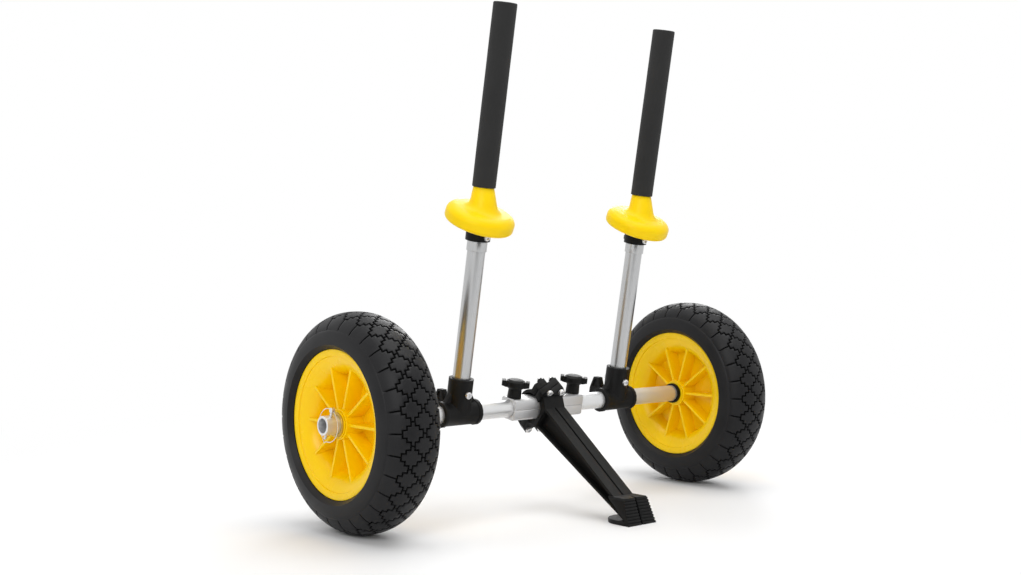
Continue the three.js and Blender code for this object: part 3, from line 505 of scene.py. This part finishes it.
def rib_shape(side, turn):
    """One rib on one face of the web: a plate that narrows to its rounded upper edges."""
    plate = bmesh.new()
    bmesh.ops.create_cube(plate, size=1.0)
    for vert in plate.verts:
        top = vert.co.x * side > 0.0
        vert.co = Vector((side * (rib_top if top else rib_foot),
                          math.copysign(rib_top_half if top else rib_foot_half, vert.co.y),
                          rib_start if vert.co.z < 0.0 else rib_end))
    lengthways = [edge for edge in plate.edges if edge.calc_length() > (rib_end - rib_start) / 2.0]
    upper = [edge for edge in lengthways if abs(edge.verts[0].co.x) > (rib_foot + rib_top) / 2.0]
    bmesh.ops.bevel(plate, geom=upper, offset=rib_edge, segments=3, profile=0.5,
                    affect="EDGES", material=-1)
    bmesh.ops.recalc_face_normals(plate, faces=plate.faces)
    bmesh.ops.transform(plate, matrix=Matrix.Rotation(turn, 4, "X"), verts=plate.verts)
    return plate


def rim_shape():
    shape = bmesh.new()
    turned(shape, rim_side + [(-x, radius) for x, radius in reversed(rim_side)], steps=120)
    for side in (-1.0, 1.0):
        for rib in range(rib_count):
            join_part(shape, rib_shape(side, math.radians(90.0 + 360.0 * rib / rib_count)))
    return shape


yellow_depth = {"Subsurface Weight": 0.12, "Subsurface Radius": (0.9, 0.5, 0.01), "Subsurface Scale": 0.003}
rim_finish = grained_finish("yellow_moulding", light=(1.0, 0.66, 0.0), dark=(1.0, 0.62, 0.0),
                            scale=500.0, depth=0.00002, smooth=0.22, rough=0.32,
                            sockets={"Specular IOR Level": 0.25, **yellow_depth})
for side in wheel_places:
    finished(rim_shape(), f"{side}_dished_rim", f"{side}_wheel", rim_finish, wheel_place(side),
             [f"{side}_rim"])


# Hard parts. Drawn aluminium tubes, zinc-plated small parts, yellow-plated washers and black
# mouldings are used by several of the pieces below. The poles' lines run along their lean.
lean = math.radians(10.5)
axle_finish = drawn_metal("axle_aluminium", (0.75, 0.755, 0.76), smooth=0.36, rough=0.46)
box_finish = drawn_metal("coupling_aluminium", (0.60, 0.60, 0.605), smooth=0.40, rough=0.52)
pole_finish = drawn_metal("pole_aluminium", (0.50, 0.505, 0.51), smooth=0.26, rough=0.34, metal=0.92,
                          along="Z", lean=lean)
zinc_finish = drawn_metal("zinc_plate", (0.70, 0.70, 0.71), smooth=0.16, rough=0.28)
washer_finish = drawn_metal("yellow_zinc_plate", (0.60, 0.40, 0.08), smooth=0.30, rough=0.45)
plastic_finish = grained_finish("black_moulding", light=(0.007, 0.007, 0.007), dark=(0.004, 0.004, 0.004),
                                scale=1500.0, depth=0.00004, smooth=0.40, rough=0.55,
                                sockets={"Specular IOR Level": 0.15})


# Axle. Two drawn tubes, each with a washer outside its wheel, a black spacer ring inside it and a
# yellow flanged bush in each end of the hub.
axle_radius = 0.0110
ring_bore = axle_radius + 0.0003
inner_ends = {"left": 0.0120, "right": 0.0180}
bush_low = 0.0070
bush_radius = 0.0133
flange_low = 0.0273
flange_high = 0.0287


def tube_outline(low, high, radius, bore, edge):
    """Outline of a tube along X with its outer edges rounded off."""
    arc = quarter_arc(4)
    start = [(low + edge * (1.0 - math.sin(a)), radius - edge * (1.0 - math.cos(a))) for a in reversed(arc)]
    end = [(high - edge * (1.0 - math.sin(a)), radius - edge * (1.0 - math.cos(a))) for a in arc]
    return [(low, bore)] + start + end + [(high, bore)]


def turned_piece(profile, name, body, material, place, node):
    shape = bmesh.new()
    turned(shape, profile, steps=64)
    return finished(shape, name, body, material, place, [node])


def facing(side, x=0.0):
    """Places a turned piece on the axle, its outline running outwards on its own side."""
    flip = Matrix.Rotation(math.pi if side == "left" else 0.0, 4, "Z")
    return Matrix.Translation(axle_place) @ flip @ Matrix.Translation((x, 0.0, 0.0))


for side, inner_end in inner_ends.items():
    tube = tube_outline(low=inner_end, high=0.3300, radius=axle_radius, bore=0.0084, edge=0.0004)
    turned_piece(tube, f"{side}_axle", f"{side}_axle",
                 axle_finish, facing(side), f"{side}_axle_tube")
    washer = tube_outline(low=0.3115, high=0.3130, radius=0.0145, bore=ring_bore, edge=0.0003)
    turned_piece(washer, f"{side}_thrust_washer", f"{side}_axle",
                 washer_finish, facing(side), f"{side}_washer")
    spacer = tube_outline(low=0.2485, high=0.2535, radius=0.0136, bore=ring_bore, edge=0.0006)
    turned_piece(spacer, f"{side}_spacer", f"{side}_axle",
                 plastic_finish, facing(side), f"{side}_spacer_ring")
    flange = tube_outline(low=flange_low, high=flange_high, radius=0.0158, bore=ring_bore, edge=0.0004)
    barrel = [(bush_low, ring_bore), (bush_low, bush_radius), (flange_low, bush_radius)]
    for end, turn in (("outer", 0.0), ("inner", math.pi)):
        place = facing(side, wheel_places["right"]) @ Matrix.Rotation(turn, 4, "Z")
        turned_piece(barrel + flange[1:], f"{side}_{end}_hub_bush", f"{side}_wheel", rim_finish,
                     place, f"{side}_{end}_bush")


# Moulded and bent parts. Each is a copy of its solid with flat faces joined, edges rounded and
# curved faces shaded smoothly: tees, knobs, caps, coupling, lock pins and rings, nuts and studs.
# The lock rings' wire is also made thinner by slim, all round.
body_of = {node: body for body, nodes in frame["record"]["behaviour"]["bodies"].items() for node in nodes}
flat_within = math.radians(1.0)
sharp_beyond = math.radians(30.0)
copied = [
    ("lock_pin", "zinc", zinc_finish, 0.0003),
    ("tee", "plastic", plastic_finish, 0.0007), ("tee_nut", "zinc", zinc_finish, 0.0003),
    ("collar_nut", "plastic", plastic_finish, 0.0003), ("pole_cap", "plastic", plastic_finish, 0.0003),
    ("coupling_knob", "plastic", plastic_finish, 0.0010), ("coupling_stud", "zinc", zinc_finish, 0.0),
    ("wing_knob", "plastic", plastic_finish, 0.0008), ("wing_stud", "zinc", zinc_finish, 0.0),
]


def rounded_copy(node, material, edge, slim=0.0):
    shape = bmesh.new()
    shape.from_mesh(frame["nodes"][node].data)
    bmesh.ops.remove_doubles(shape, verts=shape.verts, dist=1e-6)
    bmesh.ops.dissolve_limit(shape, angle_limit=flat_within, verts=shape.verts, edges=shape.edges)
    sharp = [e for e in shape.edges if e.is_manifold and e.calc_face_angle(0.0) > sharp_beyond]
    if edge > 0.0:
        bmesh.ops.bevel(shape, geom=sharp, offset=edge, segments=2, profile=0.5, affect="EDGES",
                        clamp_overlap=True, material=-1)
    shape.normal_update()
    for vert in shape.verts:
        vert.co -= vert.normal * slim
    return finished(shape, f"{node}_part", body_of[node], material, Matrix(), [node])


for side in wheel_places:
    for part, slot, material, edge in copied:
        rounded_copy(f"{side}_{part}", material, edge)
    rounded_copy(f"{side}_lock_ring", zinc_finish, 0.0, slim=0.00025)
rounded_copy("coupling_box", box_finish, 0.0003)


# Cap-head bolts: a round head with a soft edge and a deep socket, on a plain shank. The tee and
# collar bolts pass through their post from front to back.
socket_edge = 0.0002
socket_depth = 0.0016
socket_point = 0.0020
post_places = {"left": -0.1370, "right": 0.1340}
tee_bolt_rise = 0.0265
collar_bolt_rise = 0.2182
forwards = Matrix.Rotation(math.radians(-90.0), 4, "Z")


def cap_bolt(head_start, head_height, head_radius, shank_radius, tail):
    top = head_start + head_height
    soft = head_radius * 0.22
    socket = head_radius * 0.48
    outline = [(-tail, 0.0), (-tail, shank_radius), (head_start, shank_radius), (head_start, head_radius)]
    for angle in quarter_arc(5):
        outline.append((top - soft * (1.0 - math.sin(angle)), head_radius - soft * (1.0 - math.cos(angle))))
    outline += [(top, socket + socket_edge), (top - socket_edge, socket), (top - socket_depth, socket)]
    return outline + [(top - socket_point, 0.0)]


def on_post(side, rise):
    """The post's own frame: X to the right, Y backwards and Z up the pole."""
    tilt = Matrix.Translation(axle_place) @ Matrix.Rotation(lean, 4, "X")
    return tilt @ Matrix.Translation((post_places[side], 0.0, rise))


for side in post_places:
    tee_bolt = cap_bolt(head_start=0.0158, head_height=0.0033, head_radius=0.0043,
                        shank_radius=0.0022, tail=0.0201)
    turned_piece(tee_bolt, f"{side}_tee_screw", f"{side}_post",
                 zinc_finish, on_post(side, tee_bolt_rise) @ forwards, f"{side}_tee_bolt")
    collar_bolt = cap_bolt(head_start=0.0153, head_height=0.0033, head_radius=0.0036,
                           shank_radius=0.0022, tail=0.0196)
    turned_piece(collar_bolt, f"{side}_collar_screw", f"{side}_post",
                 zinc_finish, on_post(side, collar_bolt_rise) @ forwards, f"{side}_collar_bolt")


# Poles. Each aluminium tube stands in its tee, and carries a ferrule and a black collar. Their
# outlines run up the pole.
def post_place(side, rise):
    return on_post(side, rise) @ Matrix.Rotation(math.radians(-90.0), 4, "Y")


for side in post_places:
    place = post_place(side, 0.0)
    pole = tube_outline(low=0.0143, high=0.4892, radius=0.0110, bore=0.0094, edge=0.0003)
    turned_piece(pole, f"{side}_post_tube", f"{side}_post",
                 pole_finish, place, f"{side}_pole")
    ferrule = tube_outline(low=0.2003, high=0.2123, radius=0.0123, bore=0.0113, edge=0.0004)
    turned_piece(ferrule, f"{side}_ferrule_tube", f"{side}_post",
                 pole_finish, place, f"{side}_ferrule")
    collar = tube_outline(low=0.2126, high=0.2260, radius=0.0150, bore=0.0113, edge=0.0008)
    turned_piece(collar, f"{side}_collar_ring", f"{side}_post",
                 plastic_finish, place, f"{side}_collar")


# Bumpers. A soft yellow moulding sits on each collar: a domed disc with a round edge, tipped
# forwards on the pole as in the photograph, that flows up into a slim upright neck. Its underside
# has a shallow groove round the collar.
bumper_bore = 0.0113
bumper_low = 0.2263
bumper_radius = 0.0423
bumper_low_edge = 0.0050
bumper_side = 0.0105
bumper_rim = 0.0205
bumper_dome = 0.0130
bumper_rise = 0.0042
bumper_height = 0.0503
bumper_neck = 0.0127
bumper_lip = 0.0006
bumper_cant = math.radians(14.8)
cant_middle = Vector((0.0105, 0.0, 0.0))
cant_fade = 1.5
collar_seat = 0.0155
flare_start = Vector((bumper_rim + 0.0006, 0.0240))
flare_turn = Vector((bumper_rim + 0.0030, 0.0178))
flare_end = Vector((bumper_rim + 0.0110, 0.0162))
bumper_profile = [(0.0, bumper_bore), (0.0, 0.0152), (0.0010, 0.0162), (0.0, 0.0200)]
for angle in quarter_arc(8):
    bumper_profile.append((bumper_low_edge * (1.0 - math.cos(angle)),
                           bumper_radius - bumper_low_edge * (1.0 - math.sin(angle))))
for angle in quarter_arc(15)[:15]:
    bumper_profile.append((bumper_side + (bumper_rim - bumper_side) * math.sin(angle),
                           bumper_radius - bumper_dome * (1.0 - math.cos(angle))))
bumper_profile += curve(flare_start, flare_turn, flare_end, steps=12)
bumper_profile += [(bumper_height - bumper_lip, bumper_neck), (bumper_height, bumper_neck - bumper_lip),
                   (bumper_height, bumper_bore)]


def canted(shape):
    """Tips the disc forwards about its middle and lets the collar's seat and the neck stay."""
    tip = Matrix.Rotation(-bumper_cant, 3, "Z")
    for vert in shape.verts:
        rise = min(max((vert.co.x - bumper_rim) / (bumper_height - bumper_rim), 0.0), 1.0)
        tipped = tip @ (vert.co - cant_middle) + cant_middle + Vector((bumper_rise, 0.0, 0.0))
        on_collar = vert.co.yz.length < collar_seat and vert.co.x < cant_middle.x
        vert.co = vert.co.lerp(tipped, 0.0 if on_collar else (1.0 - rise) ** cant_fade)


bumper_finish = grained_finish("yellow_rubber", light=(1.0, 0.70, 0.0), dark=(1.0, 0.65, 0.0),
                               scale=900.0, depth=0.00003, smooth=0.34, rough=0.44,
                               sockets={"Specular IOR Level": 0.18, **yellow_depth})
for side in post_places:
    shape = bmesh.new()
    turned(shape, bumper_profile, steps=96)
    canted(shape)
    finished(shape, f"{side}_hull_bumper", f"{side}_post", bumper_finish,
             post_place(side, bumper_low), [f"{side}_bumper"])


# Foam sleeves. A closed-cell foam tube is pulled over each pole. Its surface is matt, faintly
# pitted and a little uneven, and its ends are cut and slightly rounded.
foam_low = 0.2769
foam_length = 0.2151
foam_radius = 0.01425
foam_bore = 0.0112
foam_low_edge = 0.0004
foam_edge = 0.0016
foam_skin = 0.0005
foam_uneven = 0.008
foam_profile = [(0.0, foam_bore), (0.0, foam_radius - foam_low_edge), (foam_low_edge, foam_radius)]
foam_profile += [(0.003 + 0.006 * step, foam_radius) for step in range(35)]
for angle in reversed(quarter_arc(5)):
    foam_profile.append((foam_length - foam_edge * (1.0 - math.cos(angle)),
                         foam_radius - foam_edge * (1.0 - math.sin(angle))))
foam_profile.append((foam_length, foam_bore))


def uneven(shape):
    """Presses the foam's outside in by long waves along it and by waves that also turn round it."""
    for vert in shape.verts:
        if vert.co.yz.length > foam_radius - foam_skin:
            around = math.atan2(vert.co.y, vert.co.z)
            along_wave = math.sin(vert.co.x * 95.0 + 1.3)
            turning_wave = math.sin(vert.co.x * 41.0 + around * 2.0)
            pressed = 0.5 + 0.25 * (along_wave + turning_wave)
            vert.co.yz = vert.co.yz * (1.0 - foam_uneven * pressed)


foam_finish = grained_finish("closed_cell_foam", light=(0.023, 0.023, 0.023), dark=(0.018, 0.018, 0.018),
                             scale=1100.0, depth=0.00016, smooth=0.80, rough=0.95,
                             sockets={"Specular IOR Level": 0.3, "Sheen Weight": 0.05,
                                      "Sheen Roughness": 0.6})
for side in post_places:
    shape = bmesh.new()
    turned(shape, foam_profile, steps=48)
    uneven(shape)
    sleeve = finished(shape, f"{side}_foam", f"{side}_post", foam_finish,
                      post_place(side, foam_low), [f"{side}_foam_sleeve"])


# Kickstand. The leg with its clamp half and ribbed foot is one moulding, and a second jaw closes
# round the coupling behind it. Four cap-head bolts with nuts draw the two together.
stand_place = Matrix.Translation(axle_place) @ Matrix.Rotation(math.radians(38.5), 4, "X")
bolt_columns = {"left": -0.010, "right": 0.010}
bolt_rows = {"upper": (0.032, 0.0163), "lower": (-0.032, 0.0108)}
rounded_copy("kickstand_leg", plastic_finish, 0.0005)
rounded_copy("clamp_jaw", plastic_finish, 0.0008)
for row, (height, tail) in bolt_rows.items():
    clamp_bolt = cap_bolt(head_start=0.0093, head_height=0.0036, head_radius=0.0041,
                          shank_radius=0.0025, tail=tail)
    for column, across in bolt_columns.items():
        corner = f"{row}_{column}"
        turned_piece(clamp_bolt, f"{corner}_clamp_screw", body_of[f"{corner}_clamp_bolt"],
                     zinc_finish, stand_place @ Matrix.Translation((across, 0.0, height)) @ forwards,
                     f"{corner}_clamp_bolt")
        rounded_copy(f"{corner}_clamp_nut", plastic_finish, 0.0004)
